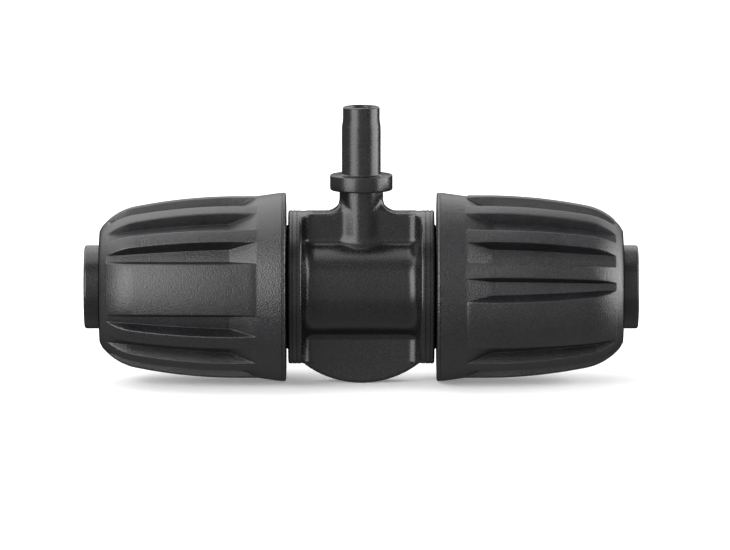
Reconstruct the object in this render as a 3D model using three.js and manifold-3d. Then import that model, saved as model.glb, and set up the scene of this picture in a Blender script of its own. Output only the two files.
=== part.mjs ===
// Reducing tee for soft 16 mm pipe: two screw-on lock nuts on the run and a
// plain 6.35 mm spigot as the branch.
//
// Millimetres. +X is the pipe run, +Z points up the branch, and the origin is
// on the lowest point of the body, under the middle of the run.
// Each end is drawn once, pointing along +X, in (station, radius) pairs: the
// station is the distance from the middle of the run. The left end is the same
// drawing turned half a turn about Z, so both screw threads are right-handed.

import * as THREE from 'three';
import { mergeVertices } from 'three/addons/utils/BufferGeometryUtils.js';
import Module from 'manifold-3d';

const wasm = await Module();
wasm.setup();

// ---------------------------------------------------------------- dimensions

const AXIS_HEIGHT = 15.5; // run axis above the lowest point of the belly
const GAP = 0.3; // clearance between neighbouring pieces
const NUT_SEGMENTS = 48;
const BODY_SEGMENTS = 36;
const SMALL_SEGMENTS = 24;
const THREAD_SEGMENTS = 18;

const BORE_RADIUS = 5.4; // bore of the run
const INSERT_RADIUS = 6.8; // goes inside a 16 x 1.2 mm pipe
const INSERT_END = 45.1;
const INSERT_SEAT_START = 9.0; // counterbore that the insert is pressed into
const INSERT_SEAT_RADIUS = INSERT_RADIUS + GAP;
const SOCKET_RADIUS = 8.3; // takes the outside of the pipe
const SOCKET_FLOOR = 13.4;
const SOCKET_LEAD = 0.9; // chamfer at the mouth, where the seal sits

const BARREL_RADIUS = 7.9;
const BARREL_FILLET = 1.6;
const COLLAR_RADIUS = 12.5;
const COLLAR_START = 9.6;
const COLLAR_END = 11.9;
const EDGE_ROUND = 0.35;
const WEB_THICKNESS = 5.0;
const WEB_TOP = 12.35;
const WEB_REACH = COLLAR_START + 0.3; // the web runs a little way into the collars
const SWEEP_WIDTH = 1.9; // curve from each shoulder up the side of the neck
const SWEEP_HEIGHT = 2.5;

const THREAD_PITCH = 3.0;
const THREAD_CORE = 10.0; // male thread, at the root
const THREAD_CREST = 11.0; // male thread, at the top
const THREAD_ROOT_WIDTH = 1.5;
const THREAD_CREST_WIDTH = 1.0;
const THREAD_START = 13.6;
const THREAD_BURIED = 0.3; // depth of each ridge inside the wall it stands on
const THREAD_FADE = 1 / 12; // turns over which a ridge rises out of its wall
const THREAD_LEAST_HEIGHT = 0.05; // share of the full height at its very ends
const MALE_TURNS = 2.75;
const SLEEVE_END = 23.2;

const NECK_RADIUS = 3.42;
const BRANCH_BORE_RADIUS = 1.95;
const STOP_RADIUS = 5.1; // flange that the branch tube butts against
const STOP_BOTTOM = 15.95;
const STOP_TOP = 18.45;
const STOP_EDGE_ROUND = 0.3; // of its lower edge
const SPIGOT_RADIUS = 3.175;
const SPIGOT_TIP_RADIUS = 3.0;
const SPIGOT_TOP = 29.6;
const TAPER_LENGTH = 1.3; // from the spigot's full width down to its tip
const TIP_LENGTH = 2.1;

const NUT_START = 12.25;
const NUT_END = 42.6;
const NUT_RADIUS = 14.84; // widest point of the barrel-shaped skirt
const NUT_FLANGE_RADIUS = 15.4;
const NUT_FLANGE_WIDTH = 0.9; // its rim, before it narrows into the skirt
const NUT_RIM_DRAFT = 0.03;
const NUT_BORE_RADIUS = THREAD_CREST + GAP;
const NUT_MOUTH_RADIUS = 8.4;
const NUT_CROWN_RADIUS = 85; // lengthwise curve of the skirt
const NUT_CROWN_STATION = 20;
const NOSE_START = 36.7;
const NOSE_RADIUS = 9.46;
const NOSE_EDGE_RADIUS = 2.2;
const FEMALE_TURNS = 2.75;

const GROOVE_START = 16.9; // where the ramp leaves the flange
const GROOVE_RAMP = [[18.4, 14.35], [20.1, 13.3], [21.3, 12.95]];
const GROOVE_FLOOR = [[28, 12.6], [35, 11.85], [41.25, 10.9]];
const GROOVE_CLEARANCE = 17; // radius outside the skirt that the cutter reaches
const GROOVE_END_CLEARANCE = 13; // and the same beyond the nose
const LAND_FLOOR = 8; // radius from which the panels and ribs stand up
const PANEL_COUNT = 3;
const PANEL_HALF_WIDTH = 4.25;
const RIB_ANGLES = [36, 60, 84]; // from the middle of each wide panel
const RIB_HALF_WIDTH = 1.3;
const LEFT_NUT_ANGLE = 5.8; // height of a wide panel above the front, degrees
const RIGHT_NUT_ANGLE = -18.2;

const CONE_START = 28.6; // cone in the nut that closes the grip ring
const CONE_START_RADIUS = 10.7;
const CONE_END = 38.9;
const CONE_END_RADIUS = 9.5;
const CONE_LEAD = 1; // step from the thread's bore down to the cone

const GRIP_START = CONE_START + GAP;
const GRIP_END = CONE_END - 1.3 * GAP; // clear of the lip at the nut's mouth
const GRIP_BORE_RADIUS = 8.3;
const GRIP_TOOTH_HEIGHT = 0.2;
const GRIP_TOOTH_COUNT = 3;
const GRIP_TOOTH_BACK = 0.8; // long slope that a pipe slides up
const GRIP_TOOTH_FRONT = 0.05; // steep face that bites when it is pulled
const GRIP_SLIT = 2.4;
const GRIP_SLIT_REACH = 12; // how far the slit's cutter runs outward from the bore

const SEAL_SECTION_RADIUS = 0.9;
const SEAL_RADIUS = 9.05; // to the middle of the section
const SEAL_STATION = SLEEVE_END + GAP + SEAL_SECTION_RADIUS;
const BUSH_START = SEAL_STATION + SEAL_SECTION_RADIUS + GAP;
const BUSH_END = GRIP_START - GAP;
const BUSH_RADIUS = 9.95;
const BUSH_BORE_RADIUS = 8.3;

// ------------------------------------------------------------------ materials

const bodyPlastic = new THREE.MeshStandardMaterial({ color: 0x1d1e20, roughness: 0.38, metalness: 0 });
const nutPlastic = new THREE.MeshStandardMaterial({ color: 0x26272a, roughness: 0.62, metalness: 0 });
const ringPlastic = new THREE.MeshStandardMaterial({ color: 0x3b3d40, roughness: 0.5, metalness: 0 });
const sealRubber = new THREE.MeshStandardMaterial({ color: 0x111112, roughness: 0.8, metalness: 0 });

// -------------------------------------------------------------------- helpers

const degrees = THREE.MathUtils.degToRad;

// Closed geometry to a manifold solid, with its shared vertices merged.
function toSolid(geometry) {
  geometry.deleteAttribute('normal');
  geometry.deleteAttribute('uv');
  const merged = mergeVertices(geometry);
  return new wasm.Manifold(new wasm.Mesh({
    numProp: 3,
    vertProperties: new Float32Array(merged.attributes.position.array),
    triVerts: new Uint32Array(merged.index.array),
  }));
}

function toGeometry(solid) {
  const mesh = solid.getMesh();
  const geometry = new THREE.BufferGeometry();
  geometry.setAttribute('position', new THREE.BufferAttribute(mesh.vertProperties, 3));
  geometry.setIndex(new THREE.BufferAttribute(mesh.triVerts, 1));
  geometry.computeVertexNormals();
  return geometry;
}

// Points on an arc in the (station, radius) plane, angles in degrees from +X.
function arc(station, radius, size, from, to, count) {
  return Array.from({ length: count + 1 }, (_, i) => {
    const angle = degrees(from + ((to - from) * i) / count);
    return [station + size * Math.cos(angle), radius + size * Math.sin(angle)];
  });
}

// A closed (station, radius) outline spun about the run axis. The outline runs
// outward along its outside and back along its inside.
function spun(outline, segments) {
  const points = outline.map(([station, radius]) => new THREE.Vector2(radius, station));
  points.push(points[0].clone());
  return new THREE.LatheGeometry(points, segments).rotateZ(-Math.PI / 2);
}

function spunSolid(outline, segments) {
  return toSolid(spun(outline, segments));
}

function cylinderAlongX(radius, from, to, segments) {
  const geometry = new THREE.CylinderGeometry(radius, radius, to - from, segments);
  return toSolid(geometry.rotateZ(Math.PI / 2).translate((from + to) / 2, 0, 0));
}

// An outline pushed through and then reshaped: place(x, y, z) returns the
// position of each point, with z running from 0 to 1 along the push.
function shapedExtrusion(outline, steps, place) {
  const shape = new THREE.Shape(outline.map(([x, y]) => new THREE.Vector2(x, y)));
  const geometry = new THREE.ExtrudeGeometry(shape, { depth: 1, steps, bevelEnabled: false });
  const position = geometry.attributes.position;
  for (let i = 0; i < position.count; i += 1) {
    position.setXYZ(i, ...place(position.getX(i), position.getY(i), position.getZ(i)));
  }
  return toSolid(geometry);
}

// One screw-thread ridge about the run axis. It rises from the root radius to
// the crest radius and fades into the root over its first and last 30 degrees.
function threadRidge(start, turns, firstAngle, rootRadius, crestRadius) {
  const rise = crestRadius - rootRadius;
  const bury = -THREAD_BURIED * Math.sign(rise);
  const outline = [
    [-THREAD_ROOT_WIDTH / 2, bury],
    [THREAD_ROOT_WIDTH / 2, bury],
    [THREAD_ROOT_WIDTH / 2, 0],
    [THREAD_CREST_WIDTH / 2, rise],
    [-THREAD_CREST_WIDTH / 2, rise],
    [-THREAD_ROOT_WIDTH / 2, 0],
  ];
  const steps = Math.round(turns * THREAD_SEGMENTS);
  return shapedExtrusion(outline, steps, (along, height, progress) => {
    const turn = progress * turns;
    const strength = Math.min(1, turn / THREAD_FADE, (turns - turn) / THREAD_FADE);
    const faded = height / rise > 0 ? height * Math.max(strength, THREAD_LEAST_HEIGHT) : height;
    const angle = degrees(firstAngle) + 2 * Math.PI * turn;
    const radius = rootRadius + faded;
    return [start + THREAD_PITCH * turn + along, radius * Math.cos(angle), radius * Math.sin(angle)];
  });
}

// -------------------------------------------------------------------- lock nut

function skirtRadius(station) {
  const offset = Math.max(0, station - NUT_CROWN_STATION);
  return NUT_RADIUS - (offset * offset) / (2 * NUT_CROWN_RADIUS);
}

// The rounded nose continues the slope of the skirt, and a smaller edge radius
// turns it into the flat end.
function noseOutline() {
  const slope = Math.atan((NOSE_START - NUT_CROWN_STATION) / NUT_CROWN_RADIUS);
  const station = NOSE_START - NOSE_RADIUS * Math.sin(slope);
  const radius = skirtRadius(NOSE_START) - NOSE_RADIUS * Math.cos(slope);
  const edgeStation = NUT_END - NOSE_EDGE_RADIUS;
  const reach = NOSE_RADIUS - NOSE_EDGE_RADIUS;
  const edgeRadius = radius + Math.sqrt(reach ** 2 - (edgeStation - station) ** 2);
  const meeting = THREE.MathUtils.radToDeg(Math.atan2(edgeRadius - radius, edgeStation - station));
  return [
    ...arc(station, radius, NOSE_RADIUS, 90 - THREE.MathUtils.radToDeg(slope), meeting, 3),
    ...arc(edgeStation, edgeRadius, NOSE_EDGE_RADIUS, meeting, 0, 2).slice(1),
  ];
}

function nutOutline() {
  const skirtStations = [17, 20, 26, 32];
  return [
    [NUT_START, NUT_FLANGE_RADIUS - EDGE_ROUND],
    [NUT_START + EDGE_ROUND, NUT_FLANGE_RADIUS],
    [NUT_START + NUT_FLANGE_WIDTH, NUT_FLANGE_RADIUS - NUT_RIM_DRAFT],
    ...skirtStations.map((station) => [station, skirtRadius(station)]),
    ...noseOutline(),
    [NUT_END - EDGE_ROUND, NUT_MOUTH_RADIUS],
    [CONE_END, NUT_MOUTH_RADIUS],
    [CONE_END, CONE_END_RADIUS],
    [CONE_START, CONE_START_RADIUS],
    [CONE_START - CONE_LEAD, NUT_BORE_RADIUS],
    [NUT_START + EDGE_ROUND, NUT_BORE_RADIUS],
    [NUT_START, NUT_BORE_RADIUS + EDGE_ROUND],
  ];
}

// A straight-sided slab, as long as the grooves, that leaves a panel or a rib
// standing between two of them.
function land(halfWidth, angle) {
  const length = NUT_END - GROOVE_START + 3 * GAP;
  const height = GROOVE_CLEARANCE + GAP - LAND_FLOOR;
  const slab = new THREE.BoxGeometry(length, height, 2 * halfWidth);
  slab.translate(GROOVE_START - GAP + length / 2, LAND_FLOOR + height / 2, 0);
  return toSolid(slab).rotate([angle, 0, 0]);
}

// What the grooves take away: a ring whose inside is a ramp up to the flange
// and a floor that runs out into the nose, less the panels and ribs.
function gripGrooves() {
  const floor = [...GROOVE_FLOOR].reverse();
  const ramp = [...GROOVE_RAMP].reverse();
  let space = spunSolid([
    [GROOVE_START, GROOVE_CLEARANCE],
    [NOSE_START, GROOVE_CLEARANCE],
    [NUT_END + GAP, GROOVE_END_CLEARANCE],
    ...floor,
    ...ramp,
    [GROOVE_START, skirtRadius(GROOVE_START)],
  ], NUT_SEGMENTS);
  for (let panel = 0; panel < PANEL_COUNT; panel += 1) {
    const middle = (360 * panel) / PANEL_COUNT;
    space = space.subtract(land(PANEL_HALF_WIDTH, middle));
    for (const angle of RIB_ANGLES) {
      space = space.subtract(land(RIB_HALF_WIDTH, middle + angle));
    }
  }
  return space;
}

function lockNut() {
  const start = THREAD_START + THREAD_PITCH / 2;
  return spunSolid(nutOutline(), NUT_SEGMENTS)
    .subtract(gripGrooves())
    .add(threadRidge(start, FEMALE_TURNS, 0, NUT_BORE_RADIUS, THREAD_CORE + GAP));
}

// ------------------------------------------------------ pieces inside the nut

// Tube that keeps the soft pipe round under the grip ring. Its inner end is
// pressed into the body and its outer end stands out of the nut.
function pipeInsert() {
  return spunSolid([
    [INSERT_SEAT_START + GAP, INSERT_RADIUS],
    [INSERT_END - EDGE_ROUND, INSERT_RADIUS],
    [INSERT_END, INSERT_RADIUS - EDGE_ROUND],
    [INSERT_END, BORE_RADIUS],
    [INSERT_SEAT_START + GAP, BORE_RADIUS],
  ], BODY_SEGMENTS);
}

// Split ring with teeth that bite on the pipe when the nut's cone closes it.
function gripRing() {
  const taper = (CONE_START_RADIUS - CONE_END_RADIUS) / (CONE_END - CONE_START);
  const outside = (station) => CONE_START_RADIUS - GAP - (station - CONE_START) * taper;
  const toothPitch = (GRIP_END - GRIP_START) / (GRIP_TOOTH_COUNT + 1);
  const teeth = [];
  for (let i = GRIP_TOOTH_COUNT; i >= 1; i -= 1) {
    const tip = GRIP_START + i * toothPitch;
    teeth.push([tip + GRIP_TOOTH_BACK, GRIP_BORE_RADIUS]);
    teeth.push([tip, GRIP_BORE_RADIUS - GRIP_TOOTH_HEIGHT]);
    teeth.push([tip - GRIP_TOOTH_FRONT, GRIP_BORE_RADIUS]);
  }
  const ring = spunSolid([
    [GRIP_START, outside(GRIP_START)],
    [GRIP_END, outside(GRIP_END)],
    [GRIP_END, GRIP_BORE_RADIUS],
    ...teeth,
    [GRIP_START, GRIP_BORE_RADIUS],
  ], SMALL_SEGMENTS);
  const slit = new THREE.BoxGeometry(2 * (GRIP_END - GRIP_START), GRIP_SLIT_REACH, GRIP_SLIT);
  slit.translate((GRIP_START + GRIP_END) / 2, BORE_RADIUS + GRIP_SLIT_REACH / 2, 0);
  return ring.subtract(toSolid(slit));
}

// Plain ring that pushes the seal against the mouth of the socket.
function packingBush() {
  const lead = 0.4;
  return spunSolid([
    [BUSH_START, BUSH_RADIUS - lead],
    [BUSH_START + lead, BUSH_RADIUS],
    [BUSH_END, BUSH_RADIUS],
    [BUSH_END, BUSH_BORE_RADIUS],
    [BUSH_START, BUSH_BORE_RADIUS],
  ], SMALL_SEGMENTS);
}

function sealRing() {
  const section = arc(SEAL_STATION, SEAL_RADIUS, SEAL_SECTION_RADIUS, 180, -180, 8);
  return spunSolid(section.slice(0, -1), SMALL_SEGMENTS);
}

// ------------------------------------------------------------------------ body

// One end of the body, from the middle outward: half the barrel, the collar,
// the threaded sleeve and the pipe socket.
function endOutline() {
  const fillet = arc(
    COLLAR_START - BARREL_FILLET, BARREL_RADIUS + BARREL_FILLET, BARREL_FILLET, -90, 0, 3,
  );
  return [
    ...fillet,
    [COLLAR_START, COLLAR_RADIUS - EDGE_ROUND],
    [COLLAR_START + EDGE_ROUND, COLLAR_RADIUS],
    [COLLAR_END - EDGE_ROUND, COLLAR_RADIUS],
    [COLLAR_END, COLLAR_RADIUS - EDGE_ROUND],
    [COLLAR_END, THREAD_CORE],
    [SLEEVE_END - EDGE_ROUND, THREAD_CORE],
    [SLEEVE_END, THREAD_CORE - EDGE_ROUND],
    [SLEEVE_END, SOCKET_RADIUS + SOCKET_LEAD],
    [SLEEVE_END - SOCKET_LEAD, SOCKET_RADIUS],
    [SOCKET_FLOOR, SOCKET_RADIUS],
    [SOCKET_FLOOR, 0],
  ];
}

// Both ends of the body as one solid bar, without its bore.
function runBar() {
  const right = endOutline();
  const left = right.map(([station, radius]) => [-station, radius]).reverse();
  const points = [...left, ...right].map(([station, radius]) => new THREE.Vector2(radius, station));
  return toSolid(new THREE.LatheGeometry(points, BODY_SEGMENTS).rotateZ(-Math.PI / 2));
}

// Upright plate through the run axis: a round belly below, and above it two
// shoulders level with the collars that sweep up into the neck.
function webPlate() {
  const reach = WEB_REACH;
  const below = -Math.sqrt(AXIS_HEIGHT ** 2 - reach ** 2);
  const bellyAngle = THREE.MathUtils.radToDeg(Math.asin(reach / AXIS_HEIGHT));
  const belly = arc(0, 0, AXIS_HEIGHT, -90 - bellyAngle, -90 + bellyAngle, 12);
  const sweep = arc(0, 0, 1, 270, 180, 4).map(([x, z]) => [
    NECK_RADIUS + SWEEP_WIDTH * (1 + x) - GAP / 2,
    WEB_TOP + SWEEP_HEIGHT * (1 + z),
  ]);
  const outline = [
    ...belly,
    [reach, below],
    [reach, WEB_TOP],
    ...sweep,
    ...sweep.map(([x, z]) => [-x, z]).reverse(),
    [-reach, WEB_TOP],
    [-reach, below],
  ];
  return shapedExtrusion(outline, 1, (x, z, across) => (
    [x, (0.5 - across) * WEB_THICKNESS, z]
  ));
}

// Neck, tube stop and spigot of the branch, spun about the Z axis.
function branch() {
  const outline = [
    [0, 0],
    [NECK_RADIUS, 0],
    [NECK_RADIUS, STOP_BOTTOM],
    [STOP_RADIUS - STOP_EDGE_ROUND, STOP_BOTTOM],
    [STOP_RADIUS, STOP_BOTTOM + STOP_EDGE_ROUND],
    [STOP_RADIUS, STOP_TOP - EDGE_ROUND],
    [STOP_RADIUS - EDGE_ROUND, STOP_TOP],
    [SPIGOT_RADIUS, STOP_TOP],
    [SPIGOT_RADIUS, SPIGOT_TOP - TIP_LENGTH - TAPER_LENGTH],
    [SPIGOT_TIP_RADIUS, SPIGOT_TOP - TIP_LENGTH],
    [SPIGOT_TIP_RADIUS, SPIGOT_TOP - EDGE_ROUND],
    [SPIGOT_TIP_RADIUS - EDGE_ROUND, SPIGOT_TOP],
    [0, SPIGOT_TOP],
  ];
  const points = outline.map(([radius, height]) => new THREE.Vector2(radius, height));
  return toSolid(new THREE.LatheGeometry(points, SMALL_SEGMENTS).rotateX(Math.PI / 2));
}

function branchBore() {
  const length = SPIGOT_TOP + GAP;
  const radius = BRANCH_BORE_RADIUS;
  const geometry = new THREE.CylinderGeometry(radius, radius, length, SMALL_SEGMENTS);
  return toSolid(geometry.rotateX(Math.PI / 2).translate(0, 0, length / 2));
}

function maleThread(nutAngle) {
  return threadRidge(THREAD_START, MALE_TURNS, nutAngle, THREAD_CORE, THREAD_CREST);
}

function teeBody() {
  const bore = cylinderAlongX(BORE_RADIUS, -SLEEVE_END, SLEEVE_END, BODY_SEGMENTS);
  const seat = cylinderAlongX(INSERT_SEAT_RADIUS, INSERT_SEAT_START, SLEEVE_END, BODY_SEGMENTS);
  return runBar()
    .add(maleThread(180 - RIGHT_NUT_ANGLE))
    .add(maleThread(LEFT_NUT_ANGLE).rotate([0, 0, 180]))
    .add(webPlate())
    .add(branch())
    .subtract(bore)
    .subtract(seat)
    .subtract(seat.rotate([0, 0, 180]))
    .subtract(branchBore());
}

// -------------------------------------------------------------------- assembly

function piece(name, solid, material) {
  const mesh = new THREE.Mesh(toGeometry(solid), material);
  mesh.name = name;
  return mesh;
}

// The loose pieces of one end, in a group that points them outward.
function endPieces(side, turnAboutZ, nutAngle) {
  const end = new THREE.Group();
  end.rotation.z = turnAboutZ;
  const nut = piece(`lock_nut_${side}`, lockNut(), nutPlastic);
  nut.rotation.x = degrees(nutAngle);
  end.add(nut);
  end.add(piece(`pipe_insert_${side}`, pipeInsert(), bodyPlastic));
  end.add(piece(`grip_ring_${side}`, gripRing(), ringPlastic));
  end.add(piece(`packing_bush_${side}`, packingBush(), ringPlastic));
  end.add(piece(`seal_ring_${side}`, sealRing(), sealRubber));
  return end;
}

const tee = new THREE.Group();
tee.position.z = AXIS_HEIGHT;
tee.add(piece('tee_body', teeBody(), bodyPlastic));
tee.add(endPieces('right', 0, 180 - RIGHT_NUT_ANGLE));
tee.add(endPieces('left', Math.PI, LEFT_NUT_ANGLE));

export default tee;
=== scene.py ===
"""Looks of the reducing tee: fine moulded surfaces, plastics, light and camera.

Shapes are drawn in millimetres with the run axis at z = 0, and each is moved to
its place in the frame, in metres, when its mesh is made. One end of the run is
drawn along +X in (station, radius) pairs, and the left end is the same drawing
turned half a turn about Z.
"""

import itertools
import math

import bmesh
import bpy
import numpy as np
from mathutils import Matrix, Vector


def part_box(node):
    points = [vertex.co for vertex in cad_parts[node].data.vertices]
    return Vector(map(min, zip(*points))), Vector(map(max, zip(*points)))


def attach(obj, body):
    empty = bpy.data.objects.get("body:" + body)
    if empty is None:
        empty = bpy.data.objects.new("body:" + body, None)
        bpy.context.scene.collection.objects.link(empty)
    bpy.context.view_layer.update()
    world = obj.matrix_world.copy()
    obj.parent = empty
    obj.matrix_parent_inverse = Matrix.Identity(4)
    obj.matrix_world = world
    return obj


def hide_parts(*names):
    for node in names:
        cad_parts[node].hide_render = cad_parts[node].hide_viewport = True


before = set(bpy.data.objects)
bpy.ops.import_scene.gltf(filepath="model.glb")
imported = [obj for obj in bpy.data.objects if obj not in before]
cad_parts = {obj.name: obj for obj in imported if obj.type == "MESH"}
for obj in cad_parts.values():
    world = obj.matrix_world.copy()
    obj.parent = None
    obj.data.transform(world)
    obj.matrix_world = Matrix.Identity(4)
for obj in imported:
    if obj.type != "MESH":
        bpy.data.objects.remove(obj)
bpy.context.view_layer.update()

# ------------------------------------------------------------------ dimensions

MM = 0.001


def millimetres(node):
    """Lowest and highest corner of a CAD node, in millimetres."""
    low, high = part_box(node)
    return low / MM, high / MM


nut_low, nut_high = millimetres("lock_nut_right")
insert_low, insert_high = millimetres("pipe_insert_right")
body_high = millimetres("tee_body")[1]
grip_low, grip_high = millimetres("grip_ring_right")
bush_low, bush_high = millimetres("packing_bush_right")
seal_low, seal_high = millimetres("seal_ring_right")

AXIS_HEIGHT = (insert_low.z + insert_high.z) / 2
NUT_START, NUT_END = nut_low.x, nut_high.x
INSERT_START, INSERT_END = insert_low.x, insert_high.x
INSERT_RADIUS = (insert_high.z - insert_low.z) / 2
GRIP_START, GRIP_END = grip_low.x, grip_high.x
BUSH_START, BUSH_END = bush_low.x, bush_high.x
BUSH_RADIUS = (bush_high.z - bush_low.z) / 2
SEAL_SECTION = (seal_high.x - seal_low.x) / 2
SEAL_STATION = (seal_high.x + seal_low.x) / 2
SEAL_RADIUS = (seal_high.z - seal_low.z) / 2 - SEAL_SECTION
SPIGOT_TOP = body_high.z - AXIS_HEIGHT
SLEEVE_END = body_high.x

RIGHT, LEFT = 1, -1
SIDE_NAMES = {RIGHT: "right", LEFT: "left"}
NUT_ANGLES = {RIGHT: 198.2, LEFT: 5.8}  # of the first wide panel, in each end's own drawing
SEGMENTS = 144

EDGE = 0.35  # rounding of most outer edges
BORE_RADIUS = 5.4
SEAT_START, SEAT_RADIUS = 9.0, 7.1  # counterbore that the insert is pressed into
SOCKET_FLOOR, SOCKET_RADIUS, SOCKET_LEAD = 13.4, 8.3, 0.9
RING_BORE = SOCKET_RADIUS  # of the grip ring and the bush, which the pipe passes through

BARREL_RADIUS = 7.9
COLLAR_RADIUS, COLLAR_START, COLLAR_END = 12.5, 9.6, 11.9
COLLAR_FILLET, COLLAR_EDGE = 2.1, 0.5
WEB_HALF_THICKNESS, WEB_TOP = 2.5, 12.35
WEB_FILLET, WEB_EDGE = 0.9, 0.45
WEB_THINNING = 1.3  # what each face of the web loses on its way up the neck
SHOULDER_DIP, DIP_START, DIP_END = 0.25, 8.8, 9.3  # each shoulder is a little lower beside its collar
NECK_RADIUS, NECK_FILLET, NECK_SWEEP = 3.42, 0.7, 2.5
STRIP_INSET = 0.12  # the web that sweeps up the neck stays this far inside it
FOOT_FILLET, FOOT_TOP = 1.1, 9.0  # fuller fillet where the neck meets the barrel
BRANCH_BORE = 1.95
STOP_RADIUS, STOP_BOTTOM, STOP_TOP = 5.1, 15.95, 18.45
SPIGOT_RADIUS, TIP_RADIUS = 3.175, 3.0

THREAD_PITCH, THREAD_TURNS = 3.0, 2.75
THREAD_CORE, THREAD_CREST = 10.0, 11.0
THREAD_ROOT_WIDTH, THREAD_CREST_WIDTH, THREAD_CORNER = 1.5, 1.0, 0.12
THREAD_START, THREAD_GAP = 13.6, 0.3
THREAD_BURIED = 0.3  # depth of a ridge inside the wall it stands on
THREAD_FADE = 1 / 12  # turns over which a ridge rises out of its wall

NUT_RADIUS, FLANGE_RADIUS = 14.84, 15.4
NUT_BORE, MOUTH_RADIUS = THREAD_CREST + THREAD_GAP, 8.4
FLARE_START, FLARE_RADIUS = 13.1, FLANGE_RADIUS - 0.03
CONE_START, CONE_START_RADIUS = 28.6, 10.7
CONE_END, CONE_END_RADIUS = 38.9, 9.5
CROWN_STATION, CROWN_RADIUS = 20.0, 85.0
NOSE_START, NOSE_RADIUS, NOSE_EDGE = 36.7, 9.46, 2.2
RAMP_START, RAMP_END, GROOVE_END = 16.9, 21.3, 41.45
GROOVE_FLOOR = 12.95  # radius of the groove's floor at the foot of its ramp
FLOOR_SLOPE, FLOOR_CURVE = 0.04, 0.003146  # how the floor falls from there towards the nose
WALL_DRAFT, WALL_CREST, WALL_FOOT = 9, 0.2, 0.07  # degrees, and the roundings of a groove's side walls
PANEL_COUNT, PANEL_HALF_WIDTH = 3, 4.25
PANEL_START, PANEL_END = 17.3, 41.4
PANEL_HEIGHT, PANEL_STEP = 0.12, 0.12  # a panel stands a little proud, with a short step at each end
RIB_ANGLES, RIB_HALF_WIDTH = (36, 60, 84), 1.3
LEAST_RADIUS = 10.9  # panels and ribs taper with the nose once it is narrower than this

# -------------------------------------------------------------- mesh building


def new_object(name, vertices, faces):
    """Object from points in millimetres about the run axis, with its faces turned outward."""
    mesh = bpy.data.meshes.new(name)
    mesh.from_pydata((np.asarray(vertices) * MM).tolist(), [], [list(map(int, f)) for f in faces])
    mesh.validate()
    work = bmesh.new()
    work.from_mesh(mesh)
    bmesh.ops.recalc_face_normals(work, faces=work.faces)
    work.to_mesh(mesh)
    work.free()
    made = bpy.data.objects.new(name, mesh)
    bpy.context.scene.collection.objects.link(made)
    return made


def strip_faces(rows, columns, close_rows, close_columns):
    """Quads between neighbouring points of a grid, whose ends may join."""
    index = np.arange(rows * columns).reshape(rows, columns)
    below = np.roll(index, -1, axis=0)
    quads = np.stack([index, below, np.roll(below, -1, axis=1), np.roll(index, -1, axis=1)], axis=-1)
    quads = quads[: rows if close_rows else rows - 1, : columns if close_columns else columns - 1]
    return quads.reshape(-1, 4).tolist()


def around_run(stations, radii, angles):
    """Points at these stations, radii and angles in degrees; angle 0 is +Y and 90 is up."""
    turn = np.radians(angles)
    return np.stack(np.broadcast_arrays(stations, radii * np.cos(turn), radii * np.sin(turn)), axis=-1)


def turned_ring(name, outline, angles=None):
    """A closed (station, radius) outline spun about the run, all round or over the given angles."""
    whole = angles is None
    if whole:
        angles = np.arange(SEGMENTS) * 360 / SEGMENTS
    stations, radii = np.array(outline).T[:, :, None]
    grid = around_run(stations, radii, np.asarray(angles)[None, :])
    rows, columns = grid.shape[:2]
    faces = strip_faces(rows, columns, True, whole)
    if not whole:
        faces += [list(range(0, rows * columns, columns)), list(range(columns - 1, rows * columns, columns))]
    return new_object(name, grid.reshape(-1, 3), faces)


def turned_plug(name, outline, upright=False):
    """An open outline spun about the run, or about Z when upright, with a flat cap at each end."""
    angles = np.arange(SEGMENTS) * 360 / SEGMENTS
    stations, radii = np.array(outline).T[:, :, None]
    grid = around_run(stations, radii, angles[None, :])
    rows, columns = grid.shape[:2]
    faces = strip_faces(rows, columns, False, True)
    faces += [list(range(columns)), list(range((rows - 1) * columns, rows * columns))]
    points = grid.reshape(-1, 3)
    if upright:
        points = points[:, [1, 2, 0]]
    return new_object(name, points, faces)


def arc(station, radius, size, start, end, count):
    """Points on an arc in the (station, radius) plane, angles in degrees from +X."""
    turns = np.radians(np.linspace(start, end, count + 1))
    return [(station + size * math.cos(t), radius + size * math.sin(t)) for t in turns]


def scored_line(start, radius, depth, slope, width):
    """Outline of a fine line scored round a collar."""
    end = start + width
    return [(start, radius), (start + slope, radius - depth), (end - slope, radius - depth), (end, radius)]


def smooth_step(value, low, high):
    t = np.clip((value - low) / (high - low), 0, 1)
    return t * t * (3 - 2 * t)


def combine(base, others, operation):
    """Joins or cuts solids, and removes the tools."""
    for other in others:
        step = base.modifiers.new("combine", "BOOLEAN")
        step.operation = operation
        step.solver = "MANIFOLD"
        step.object = other
    settle(base)
    for other in others:
        bpy.data.objects.remove(other)
    return base


def settle(made):
    """Applies an object's modifiers."""
    graph = bpy.context.evaluated_depsgraph_get()
    mesh = bpy.data.meshes.new_from_object(made.evaluated_get(graph))
    made.modifiers.clear()
    made.data = mesh


def finish_surface(made, material, sharp=38):
    """Smooth shading that keeps real corners, and the piece's material."""
    mesh = made.data
    mesh.shade_smooth()
    mesh.set_sharp_from_angle(angle=math.radians(sharp))
    weighted = made.modifiers.new("normals", "WEIGHTED_NORMAL")
    weighted.keep_sharp = True
    settle(made)
    made.data.materials.clear()
    made.data.materials.append(material)


def place(made, side, body, slot, *nodes):
    """Turns a finished end piece to its side, lifts it to the run axis and ties it to the frame."""
    turn = 0 if side == RIGHT else math.pi
    made.data.transform(Matrix.Translation((0, 0, AXIS_HEIGHT * MM)) @ Matrix.Rotation(turn, 4, "Z"))
    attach(made, body)
    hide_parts(*nodes)


# ------------------------------------------------------------------ materials


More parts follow.
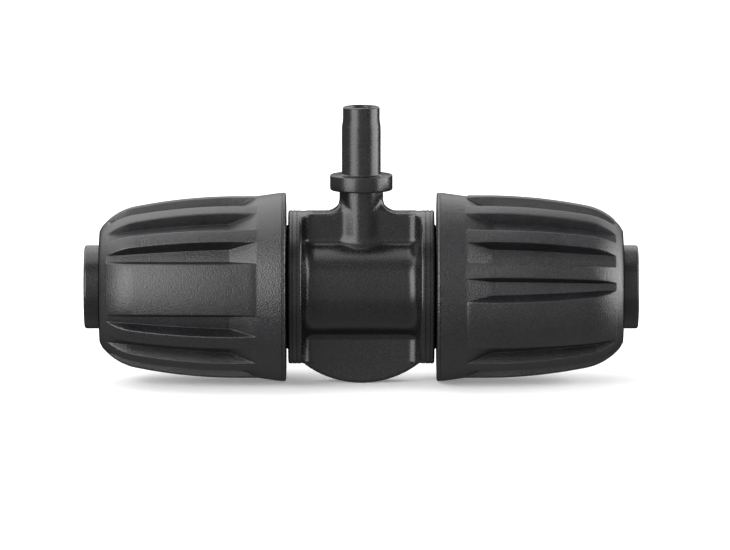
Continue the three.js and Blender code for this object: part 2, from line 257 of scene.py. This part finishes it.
def plastic(name, colour, roughness, grain_size, grain_depth, mottle, gloss=0.5):
    """Moulded plastic: fine grain in the surface, with fine and slow changes of tone and gloss."""
    cloud_size = 7.0
    made = bpy.data.materials.new(name)
    made.use_nodes = True
    nodes, links = made.node_tree.nodes, made.node_tree.links
    shader = nodes["Principled BSDF"]
    shader.inputs["Specular IOR Level"].default_value = gloss
    place_on = nodes.new("ShaderNodeTexCoord")

    def noise(size, detail):
        texture = nodes.new("ShaderNodeTexNoise")
        texture.inputs["Scale"].default_value = 1 / (size * MM)
        texture.inputs["Detail"].default_value = detail
        links.new(place_on.outputs["Object"], texture.inputs["Vector"])
        return texture.outputs["Fac"]

    def ramp(source, low, high):
        spread = nodes.new("ShaderNodeMapRange")
        spread.interpolation_type = "SMOOTHSTEP"
        spread.inputs["From Min"].default_value = 0.3
        spread.inputs["From Max"].default_value = 0.7
        spread.inputs["To Min"].default_value = low
        spread.inputs["To Max"].default_value = high
        links.new(source, spread.inputs["Value"])
        return spread.outputs["Result"]

    def total(first, second):
        added = nodes.new("ShaderNodeMath")
        added.operation = "ADD"
        links.new(first, added.inputs[0])
        links.new(second, added.inputs[1])
        return added.outputs["Value"]

    cloud = noise(cloud_size, 3)
    grain = noise(grain_size, 2)
    tone = nodes.new("ShaderNodeMix")
    tone.data_type = "RGBA"
    tone.inputs["A"].default_value = (*[c * (1 - mottle) for c in colour], 1)
    tone.inputs["B"].default_value = (*[c * (1 + mottle) for c in colour], 1)
    links.new(total(ramp(cloud, 0, 0.2), ramp(grain, 0, 0.8)), tone.inputs["Factor"])
    links.new(tone.outputs["Result"], shader.inputs["Base Color"])
    slow = ramp(cloud, roughness * 0.45, roughness * 0.55)
    fine = ramp(grain, roughness * 0.35, roughness * 0.65)
    links.new(total(slow, fine), shader.inputs["Roughness"])
    bump = nodes.new("ShaderNodeBump")
    bump.inputs["Distance"].default_value = grain_depth * MM
    bump.inputs["Strength"].default_value = 1
    links.new(grain, bump.inputs["Height"])
    links.new(bump.outputs["Normal"], shader.inputs["Normal"])
    return made


body_plastic = plastic("body_plastic", (0.0085, 0.0087, 0.0098), 0.28, 0.22, 0.016, 0.7)
nut_plastic = plastic("nut_plastic", (0.0085, 0.0087, 0.0102), 0.35, 0.22, 0.08, 0.95, gloss=0.72)
ring_plastic = plastic("ring_plastic", (0.045, 0.046, 0.048), 0.42, 0.6, 0.01, 0.2)
seal_rubber = plastic("seal_rubber", (0.006, 0.006, 0.006), 0.7, 0.35, 0.02, 0.3)

# --------------------------------------------------------------- screw threads


def thread_ridge(name, start, first_angle, root, crest):
    """One helical ridge. It fades into its root over the first and last 30 degrees."""
    rise = abs(crest - root)
    foot, top, corner = THREAD_ROOT_WIDTH / 2, THREAD_CREST_WIDTH / 2, THREAD_CORNER
    outline = [
        (-foot, -THREAD_BURIED), (foot, -THREAD_BURIED), (foot, 0), (top + corner / 3, rise - corner),
        (top - corner, rise), (corner - top, rise), (-top - corner / 3, rise - corner), (-foot, 0),
    ]
    steps_per_turn, least_strength = 96, 0.05
    turns = np.linspace(0, THREAD_TURNS, int(THREAD_TURNS * steps_per_turn) + 1)
    strength = (np.minimum(turns, THREAD_TURNS - turns) / THREAD_FADE).clip(least_strength, 1)
    along, height = np.array(outline).T[:, :, None]
    lifted = np.where(height > 0, height * strength, height) * math.copysign(1, crest - root)
    grid = around_run(start + THREAD_PITCH * turns + along, root + lifted, first_angle + 360 * turns)
    rows, columns = grid.shape[:2]
    faces = strip_faces(rows, columns, True, False)
    faces += [list(range(0, rows * columns, columns)), list(range(columns - 1, rows * columns, columns))]
    return new_object(name, grid.reshape(-1, 3), faces)


# -------------------------------------------------------------------- lock nut


def skirt(station):
    """Radius of the nut's barrel shape, which narrows from its crown towards the nose."""
    offset = np.maximum(0, station - CROWN_STATION)
    return NUT_RADIUS - offset**2 / (2 * CROWN_RADIUS)


def groove_floor(station):
    """Radius of the groove's ramp and floor, which cut into the nut where it is below the skirt."""
    ramp = np.interp(station, [RAMP_START, RAMP_END], [NUT_RADIUS, GROOVE_FLOOR])
    run = station - RAMP_END
    floor = GROOVE_FLOOR - FLOOR_SLOPE * run - FLOOR_CURVE * run**2
    return np.where(station < RAMP_END, ramp, floor)


def nut_outside():
    """Outline of the nut's outside, from the flange's end face to the outer end."""
    slope = math.atan((NOSE_START - CROWN_STATION) / CROWN_RADIUS)
    nose_station = NOSE_START - NOSE_RADIUS * math.sin(slope)
    nose_radius = float(skirt(NOSE_START)) - NOSE_RADIUS * math.cos(slope)
    edge_station = NUT_END - NOSE_EDGE
    reach = NOSE_RADIUS - NOSE_EDGE
    edge_radius = nose_radius + math.sqrt(reach**2 - (edge_station - nose_station) ** 2)
    meeting = math.degrees(math.atan2(edge_radius - nose_radius, edge_station - nose_station))
    lip = 0.4
    flange = arc(NUT_START + lip, FLANGE_RADIUS - lip, lip, 180, 90, 5)
    line_floor, line_slope, line_width = FLANGE_RADIUS - 0.1, 0.05, 0.19
    line_start = NUT_START + 0.47
    line_end = line_start + line_width
    rim_line = [
        (line_start, FLANGE_RADIUS - 0.01), (line_start + line_slope, line_floor),
        (line_end - line_slope, line_floor), (line_end, FLARE_RADIUS),
    ]
    flare = [
        (station, np.interp(station, [FLARE_START, RAMP_START], [FLARE_RADIUS, NUT_RADIUS]))
        for station in (13.6, 14.8, 16, 16.6)
    ]
    corner = 0.06  # half the width of the edges at the top and the foot of the ramp
    stations = [RAMP_START - corner, RAMP_START + corner, PANEL_START, PANEL_START + PANEL_STEP]
    stations += [18.2, 19.2, 20.2, RAMP_END - corner, RAMP_END + corner, 21.7, 22.4]
    stations += [*np.arange(23.5, NOSE_START, 1.1)]
    skirt_points = [(s, float(skirt(s))) for s in stations]
    nose = arc(nose_station, nose_radius, NOSE_RADIUS, 90 - math.degrees(slope), meeting, 16)
    edge = arc(edge_station, edge_radius, NOSE_EDGE, meeting, 0, 18)[1:]
    outline = flange + rim_line + flare + skirt_points + nose + edge
    insert_station(outline, PANEL_END - PANEL_STEP)
    insert_station(outline, PANEL_END)
    return outline


def insert_station(outline, station):
    """Adds a point at this station, between the two outline points that it falls between."""
    after = next(i for i, point in enumerate(outline) if point[0] > station)
    (s0, r0), (s1, r1) = outline[after - 1], outline[after]
    outline.insert(after, (station, r0 + (r1 - r0) * (station - s0) / (s1 - s0)))


def cone_radius(station):
    """Radius of the cone in the nut that closes the grip ring."""
    return float(np.interp(station, [CONE_START, CONE_END], [CONE_START_RADIUS, CONE_END_RADIUS]))


def nut_inside():
    """Outline of the nut's inside, from its outer end back to the flange."""
    end_face, flange_face = 0.9, 1.2  # flat width kept beside the mouth, and beside each edge of the flange
    soften, lead = 0.1, 0.45
    step_start, step_end = CONE_START - 1.1, CONE_START - 0.8  # where the bore begins to narrow to the cone
    middle = (CONE_START + CONE_END) / 2
    return [
        (NUT_END, MOUTH_RADIUS + end_face), *arc(NUT_END - EDGE, MOUTH_RADIUS + EDGE, EDGE, 0, -90, 4),
        (CONE_END + soften, MOUTH_RADIUS), (CONE_END, MOUTH_RADIUS + soften),
        (CONE_END, CONE_END_RADIUS - soften), (CONE_END - soften, CONE_END_RADIUS),
        (middle, cone_radius(middle)), (CONE_START, CONE_START_RADIUS),
        (step_end, NUT_BORE - soften), (step_start, NUT_BORE),
        *[(station, NUT_BORE) for station in (24, 20, 16)],
        (NUT_START + lead, NUT_BORE), (NUT_START, NUT_BORE + lead),
        (NUT_START, NUT_BORE + flange_face), (NUT_START, FLANGE_RADIUS - flange_face),
    ]


def wall_profile(depth):
    """Side wall of a groove as (distance into the land beside it, drop) pairs, rounded at top and foot."""
    draft = math.radians(WALL_DRAFT)
    full = max(depth, 0.5)  # a shallower wall is this one squashed
    crest, foot = min(WALL_CREST, 0.3 * full), WALL_FOOT
    turn = math.pi / 2 - draft
    lean = math.tan(draft) * full / 2
    top_run = lean + crest * math.tan(turn / 2)
    foot_run = lean + foot * math.tan(turn / 2)
    top = [(top_run - crest * math.sin(a), crest * math.cos(a) - crest) for a in np.linspace(0, turn, 4)]
    bottom = [
        (foot * math.cos(a) - foot_run, foot * math.sin(a) + foot - full)
        for a in np.linspace(-draft, -math.pi / 2, 7)
    ]
    return [(into, drop * depth / full) for into, drop in top + bottom]


def half_land(half_width, radius, cut, raised):
    """Half a panel or rib, from its middle to the groove's floor, as (angle, drop) pairs."""
    wall = wall_profile(cut + raised)
    points = [(w, raised) for w in np.linspace(0, half_width - wall[0][0], 5)[:-1]]
    points += [(half_width - into, raised + drop) for into, drop in wall]
    return [(math.degrees(math.asin(w / max(radius + drop, LEAST_RADIUS))), drop) for w, drop in points]


def nut_section(station, radius):
    """Angles and radii all round the nut's outside at one point of its outline."""
    grooved = RAMP_START < station < GROOVE_END
    cut = max(0.0, radius - float(groove_floor(station))) if grooved else 0
    steps = [PANEL_START, PANEL_START + PANEL_STEP, PANEL_END - PANEL_STEP, PANEL_END]
    raised = PANEL_HEIGHT * float(np.interp(station, steps, [0, 1, 1, 0]))
    panel = half_land(PANEL_HALF_WIDTH, radius, cut, raised)
    rib = half_land(RIB_HALF_WIDTH, radius, cut, 0)
    third = 360 / PANEL_COUNT
    lands = [(0, panel)] + [(angle, rib) for angle in RIB_ANGLES] + [(third, panel)]
    points = []
    for (near, near_land), (far, far_land) in zip(lands, lands[1:]):
        wall_foot, next_foot = near + near_land[-1][0], far - far_land[-1][0]
        points += [(near + a, drop) for a, drop in near_land]
        points += [(wall_foot + (next_foot - wall_foot) * t, -cut) for t in (0.25, 0.5, 0.75)]
        points += [(far - a, drop) for a, drop in reversed(far_land[1:])]
    angles, drops = np.array(points).T
    everywhere = np.concatenate([angles + third * i for i in range(PANEL_COUNT)])
    return everywhere, radius + np.tile(drops, PANEL_COUNT)


def lock_nut(side):
    outside = nut_outside()
    rows = [nut_section(station, radius) for station, radius in outside]
    angles = [row[0] for row in rows]
    radii = [row[1] for row in rows]
    stations = [station for station, radius in outside]
    for station, radius in nut_inside():
        angles.append(angles[-1])
        radii.append(np.full_like(angles[-1], radius))
        stations.append(station)
    turn = NUT_ANGLES[side]
    side_name = SIDE_NAMES[side]
    grid = around_run(np.array(stations)[:, None], np.array(radii), np.array(angles) + turn)
    rows, columns = grid.shape[:2]
    nut = new_object("nut_shell_" + side_name, grid.reshape(-1, 3), strip_faces(rows, columns, True, True))
    ridge = thread_ridge("ridge", THREAD_START + THREAD_PITCH / 2, turn, NUT_BORE, THREAD_CORE + THREAD_GAP)
    combine(nut, [ridge], "UNION")
    finish_surface(nut, nut_plastic, 50)
    place(nut, side, side_name + "_nut", "nut", "lock_nut_" + side_name)


# --------------------------------------------------------- pieces inside a nut


def pipe_insert(side):
    name = SIDE_NAMES[side]
    lip = 0.45
    made = turned_ring("insert_tube_" + name, [
        (INSERT_START, BORE_RADIUS), (INSERT_START, INSERT_RADIUS), (SLEEVE_END, INSERT_RADIUS),
        (NUT_END - 1, INSERT_RADIUS), *arc(INSERT_END - lip, INSERT_RADIUS - lip, lip, 90, 0, 6),
        *arc(INSERT_END - EDGE, BORE_RADIUS + EDGE, EDGE, 0, -90, 4), (SLEEVE_END, BORE_RADIUS),
    ])
    finish_surface(made, body_plastic)
    place(made, side, "body", "body", "pipe_insert_" + name)


def grip_ring(side):
    name = SIDE_NAMES[side]
    clearance = 0.3
    start_radius, end_radius = cone_radius(GRIP_START) - clearance, cone_radius(GRIP_END) - clearance
    tooth_count, tooth, back, tip_half, front = 3, 0.2, 0.8, 0.04, 0.1
    pitch = (GRIP_END - GRIP_START) / (tooth_count + 1)
    teeth = []
    for count in range(tooth_count, 0, -1):
        tip = GRIP_START + count * pitch
        teeth += [(tip + back, RING_BORE), (tip + tip_half, RING_BORE - tooth)]
        teeth += [(tip - tip_half, RING_BORE - tooth), (tip - front, RING_BORE)]
    soften = 0.15
    outline = [
        (GRIP_START, start_radius - soften), (GRIP_START + soften, start_radius),
        (GRIP_END - soften, end_radius), (GRIP_END, end_radius - soften),
        (GRIP_END, RING_BORE + soften), (GRIP_END - soften, RING_BORE), *teeth,
        (GRIP_START + soften, RING_BORE), (GRIP_START, RING_BORE + soften),
    ]
    slit_half = 7.6  # degrees
    made = turned_ring("grip_" + name, outline, np.linspace(slit_half, 360 - slit_half, 121))
    finish_surface(made, ring_plastic)
    place(made, side, name + "_ring", "ring", "grip_ring_" + name)


def packing_bush(side):
    name = SIDE_NAMES[side]
    lead, soften = 0.4, 0.15
    made = turned_ring("bush_" + name, [
        (BUSH_START, BUSH_RADIUS - lead), (BUSH_START + lead, BUSH_RADIUS),
        (BUSH_END - soften, BUSH_RADIUS), (BUSH_END, BUSH_RADIUS - soften),
        (BUSH_END, RING_BORE + soften), (BUSH_END - soften, RING_BORE),
        (BUSH_START + soften, RING_BORE), (BUSH_START, RING_BORE + soften),
    ])
    finish_surface(made, ring_plastic)
    place(made, side, "body", "ring", "packing_bush_" + name)


def seal_ring(side):
    name = SIDE_NAMES[side]
    made = turned_ring("seal_" + name, arc(SEAL_STATION, SEAL_RADIUS, SEAL_SECTION, 0, 360, 20)[:-1])
    finish_surface(made, seal_rubber)
    place(made, side, "body", "seal", "seal_ring_" + name)


# ------------------------------------------------------------------------ body


def round_union(a, b, radius):
    """Union of two distance fields with a fillet of this radius."""
    corner = np.hypot(np.maximum(radius - a, 0), np.maximum(radius - b, 0))
    return np.maximum(radius, np.minimum(a, b)) - corner


def round_intersection(a, b, radius):
    """Intersection of two distance fields with its edge rounded."""
    corner = np.hypot(np.maximum(radius + a, 0), np.maximum(radius + b, 0))
    return np.minimum(-radius, np.maximum(a, b)) + corner


CORE_END, CORE_TOP = 10.2, 16.6  # where the filleted middle ends, inside the collars and the tube stop


def middle_field(x, y, z):
    """Signed distance to the middle of the body: barrel, upright web and neck with their fillets."""
    across = np.abs(x)
    from_axis = np.hypot(y, z)
    disc_side, disc_rim, fillet_rim = 0.03, 0.32, 0.05  # how far each stays inside the collar
    barrel = from_axis - BARREL_RADIUS
    belly = np.hypot(x, z) - AXIS_HEIGHT
    shoulders = z - WEB_TOP + SHOULDER_DIP * smooth_step(across, DIP_START, DIP_END)
    strip = np.maximum(across - NECK_RADIUS + STRIP_INSET, z - CORE_TOP)
    web = np.where(z < 0, belly, round_union(shoulders, strip, NECK_SWEEP))
    half = WEB_HALF_THICKNESS - WEB_THINNING * smooth_step(z, WEB_TOP, WEB_TOP + NECK_SWEEP)
    plate = round_intersection(web, np.abs(y) - half, WEB_EDGE)
    neck = np.maximum(np.hypot(x, y) - NECK_RADIUS, -z)
    fillet = NECK_FILLET + (FOOT_FILLET - NECK_FILLET) * smooth_step(z, FOOT_TOP, BARREL_RADIUS)
    joined = round_union(round_union(plate, barrel, WEB_FILLET), neck, fillet)
    disc = np.maximum(COLLAR_START + disc_side - across, from_axis - COLLAR_RADIUS + disc_rim)
    filleted = np.maximum(round_union(joined, disc, COLLAR_FILLET), from_axis - COLLAR_RADIUS + fillet_rim)
    whole = np.minimum(joined, filleted)
    return np.maximum(whole, np.maximum(across - CORE_END, z - CORE_TOP))


def skin_of(field, low, high, step):
    """Closed skin of a distance field: one point in each cell that the surface crosses, moved onto it."""
    axes = [np.arange(a, b + step, step) for a, b in zip(low, high)]
    inside = field(*np.meshgrid(*axes, indexing="ij")) < 0
    cells = tuple(n - 1 for n in inside.shape)
    count = np.zeros(cells, int)
    for offset in itertools.product((0, 1), repeat=3):
        count += inside[tuple(slice(o, o + n) for o, n in zip(offset, cells))]
    crossed = (count > 0) & (count < 8)
    number = np.full(cells, -1)
    number[crossed] = np.arange(crossed.sum())
    points = np.array(low) + (np.argwhere(crossed) + 0.5) * step
    nudge, least_slope, rounds = 1e-3, 0.1, 6
    for _ in range(rounds):
        value = field(*points.T)
        slope = np.stack([(field(*(points + nudge * e).T) - value) / nudge for e in np.eye(3)], axis=-1)
        points -= (value / np.maximum((slope**2).sum(axis=1), least_slope))[:, None] * slope
    faces = []
    for axis in range(3):
        sides = np.moveaxis(inside, axis, 0)
        cell = np.moveaxis(number, axis, 0)
        i, j, k = np.nonzero((sides[:-1] ^ sides[1:])[:, 1:-1, 1:-1])
        corners = [cell[i, j, k], cell[i, j + 1, k], cell[i, j + 1, k + 1], cell[i, j, k + 1]]
        faces.append(np.stack(corners, axis=1))
    return points, np.concatenate(faces)


def body_end():
    """Collar, threaded sleeve and pipe socket of one end."""
    inner, hidden_radius, hidden_step = 6.0, 8.5, 0.2  # its inner end is buried in the middle of the body
    root = 0.3  # fillet between the collar and the sleeve
    outline = [
        (COLLAR_START + hidden_step, inner), (COLLAR_START, hidden_radius),
        *arc(COLLAR_START + COLLAR_EDGE, COLLAR_RADIUS - COLLAR_EDGE, COLLAR_EDGE, 180, 90, 6),
    ]
    for station in (10.35, 11.1):
        outline += scored_line(station, COLLAR_RADIUS, 0.08, 0.06, 0.2)
    outline += [
        *arc(COLLAR_END - EDGE, COLLAR_RADIUS - EDGE, EDGE, 90, 0, 5),
        (COLLAR_END, THREAD_CORE + root), (COLLAR_END + root / 3, THREAD_CORE + root / 3),
        (COLLAR_END + root, THREAD_CORE),
        *arc(SLEEVE_END - EDGE, THREAD_CORE - EDGE, EDGE, 90, 0, 4),
        (SLEEVE_END, SOCKET_RADIUS + SOCKET_LEAD), (SLEEVE_END - SOCKET_LEAD, SOCKET_RADIUS),
        (SOCKET_FLOOR, SOCKET_RADIUS), (SOCKET_FLOOR, inner),
    ]
    return outline


def branch_outline():
    """Tube stop and spigot of the branch, in (height, radius) pairs."""
    inner, hidden_radius, hidden_depth = 1.4, 3.0, 0.4  # its lower end is buried in the neck
    lower_edge, upper_edge, fillet = 0.3, 0.2, 0.3
    taper_start, taper_end, soften = SPIGOT_TOP - 3.4, SPIGOT_TOP - 2.0, 0.3
    return [
        (STOP_BOTTOM - hidden_depth, inner), (STOP_BOTTOM - hidden_depth, hidden_radius),
        (STOP_BOTTOM, hidden_radius + 0.1),
        *arc(STOP_BOTTOM + lower_edge, STOP_RADIUS - lower_edge, lower_edge, 180, 90, 5),
        *arc(STOP_TOP - upper_edge, STOP_RADIUS - upper_edge, upper_edge, 90, 0, 5),
        *arc(STOP_TOP + fillet, SPIGOT_RADIUS + fillet, fillet, 180, 270, 4),
        (taper_start, SPIGOT_RADIUS), (taper_start + soften, SPIGOT_RADIUS - 0.03),
        (taper_end - soften, TIP_RADIUS + 0.02), (taper_end, TIP_RADIUS),
        *arc(SPIGOT_TOP - EDGE, TIP_RADIUS - EDGE, EDGE, 90, 0, 5), (SPIGOT_TOP, inner),
    ]


def tee_body():
    cell, margin = 0.2, 0.3
    low = (-CORE_END - margin, -COLLAR_RADIUS - cell, -AXIS_HEIGHT - margin)
    high = (CORE_END + margin, COLLAR_RADIUS + cell, CORE_TOP + margin)
    body = new_object("tee_moulding", *skin_of(middle_field, low, high, cell))
    right = np.array(body_end())
    ends = [turned_ring("end", right), turned_ring("end", right * (-1, 1))]
    ridge_right = thread_ridge("ridge", THREAD_START, NUT_ANGLES[RIGHT], THREAD_CORE, THREAD_CREST)
    ridge_left = thread_ridge("ridge", THREAD_START, NUT_ANGLES[LEFT], THREAD_CORE, THREAD_CREST)
    for vertex in ridge_left.data.vertices:
        vertex.co.x, vertex.co.y = -vertex.co.x, -vertex.co.y
    upright = turned_ring("branch", branch_outline())
    for vertex in upright.data.vertices:
        vertex.co = vertex.co.yzx
    combine(body, ends + [ridge_right, ridge_left, upright], "UNION")
    bore = turned_plug("bore", [(-SLEEVE_END - 1, BORE_RADIUS), (SLEEVE_END + 1, BORE_RADIUS)])
    seats = [
        turned_plug("seat", [(side * SEAT_START, SEAT_RADIUS), (side * (SLEEVE_END + 2), SEAT_RADIUS)])
        for side in (RIGHT, LEFT)
    ]
    mouth = [(0, BRANCH_BORE), (SPIGOT_TOP - 0.35, BRANCH_BORE), (SPIGOT_TOP - 0.1, BRANCH_BORE + 0.1)]
    mouth += [(SPIGOT_TOP + 0.2, BRANCH_BORE + 0.45)]
    combine(body, [bore, *seats, turned_plug("branch_bore", mouth, upright=True)], "DIFFERENCE")
    finish_surface(body, body_plastic)
    place(body, RIGHT, "body", "body", "tee_body")


# ---------------------------------------------------------------------- studio

TEE_CENTRE = Vector((0, 0, AXIS_HEIGHT * MM))


def direction(azimuth, elevation):
    """Unit vector from the tee: azimuth 0 is towards the front, 90 to the right, in degrees."""
    a, e = math.radians(azimuth), math.radians(elevation)
    return Vector((math.sin(a) * math.cos(e), -math.cos(a) * math.cos(e), math.sin(e)))


def camera():
    elevation, distance = 7.8, 1.3
    data = bpy.data.cameras.new("camera")
    data.lens = 393.4
    data.sensor_width = 36
    data.clip_start = 0.01
    made = bpy.data.objects.new("camera", data)
    bpy.context.scene.collection.objects.link(made)
    aim = TEE_CENTRE + Vector((0.0006, 0, 0.00195))  # the middle of the view
    made.location = aim + distance * direction(0, elevation)
    made.rotation_euler = (aim - made.location).to_track_quat("-Z", "Y").to_euler()
    bpy.context.scene.camera = made


def softbox(name, azimuth, elevation, width, height, radiance, shift=0, distance=0.9):
    """Rectangular light that faces the tee, with its long side along width or height, in metres."""
    data = bpy.data.lights.new(name, "AREA")
    data.shape = "RECTANGLE"
    data.size, data.size_y = width, height
    data.energy = radiance * width * height * math.pi
    made = bpy.data.objects.new(name, data)
    bpy.context.scene.collection.objects.link(made)
    made.location = TEE_CENTRE + distance * direction(azimuth, elevation)
    made.rotation_euler = (TEE_CENTRE - made.location).to_track_quat("-Z", "Y").to_euler()
    made.location.x += shift
    made.visible_camera = False


def studio():
    softbox("overhead", 0, 105, 1.4, 0.92, 2.3, shift=-0.66)
    softbox("front", 0, 13, 1.4, 1.3, 0.26)
    softbox("left", -44, 15, 0.72, 1.06, 5.1)
    softbox("right", 90, 10, 0.86, 0.85, 5.6)
    softbox("back", 180, 34, 2.4, 0.6, 1.5)
    world = bpy.data.worlds.new("studio")
    world.use_nodes = True
    nodes, links = world.node_tree.nodes, world.node_tree.links
    background = nodes["Background"]
    background.inputs["Color"].default_value = (1, 1, 1, 1)
    place_on = nodes.new("ShaderNodeTexCoord")
    split = nodes.new("ShaderNodeSeparateXYZ")
    links.new(place_on.outputs["Generated"], split.inputs["Vector"])
    room = nodes.new("ShaderNodeMapRange")  # what the tee reflects darkens towards the back
    room.inputs["From Min"].default_value = 0.2
    room.inputs["From Max"].default_value = 0.9
    room.inputs["To Min"].default_value = 0.38
    room.inputs["To Max"].default_value = 0.03
    links.new(split.outputs["Y"], room.inputs["Value"])
    path = nodes.new("ShaderNodeLightPath")
    level = nodes.new("ShaderNodeMapRange")  # and the camera itself sees plain white
    links.new(room.outputs["Result"], level.inputs["To Min"])
    level.inputs["To Max"].default_value = 1.0
    links.new(path.outputs["Is Camera Ray"], level.inputs["Value"])
    links.new(level.outputs["Result"], background.inputs["Strength"])
    bpy.context.scene.world = world
    bpy.context.scene.view_settings.view_transform = "Standard"


def floor():
    half = 4.0
    mesh = bpy.data.meshes.new("floor")
    corners = [(-half, -half, 0), (half, -half, 0), (half, half, 0), (-half, half, 0)]
    mesh.from_pydata(corners, [], [(0, 1, 2, 3)])
    made = bpy.data.objects.new("floor", mesh)
    bpy.context.scene.collection.objects.link(made)
    paint = bpy.data.materials.new("floor_paint")
    paint.use_nodes = True
    shader = paint.node_tree.nodes["Principled BSDF"]
    shader.inputs["Base Color"].default_value = (0.9, 0.9, 0.9, 1)
    shader.inputs["Roughness"].default_value = 0.9
    shader.inputs["Emission Color"].default_value = (1, 1, 1, 1)
    shader.inputs["Emission Strength"].default_value = 0.2
    mesh.materials.append(paint)
    made.visible_diffuse = False
    made.visible_glossy = False


# -------------------------------------------------------------------- assembly

camera()
tee_body()
for end in (RIGHT, LEFT):
    lock_nut(end)
    pipe_insert(end)
    grip_ring(end)
    packing_bush(end)
    seal_ring(end)
studio()
floor()
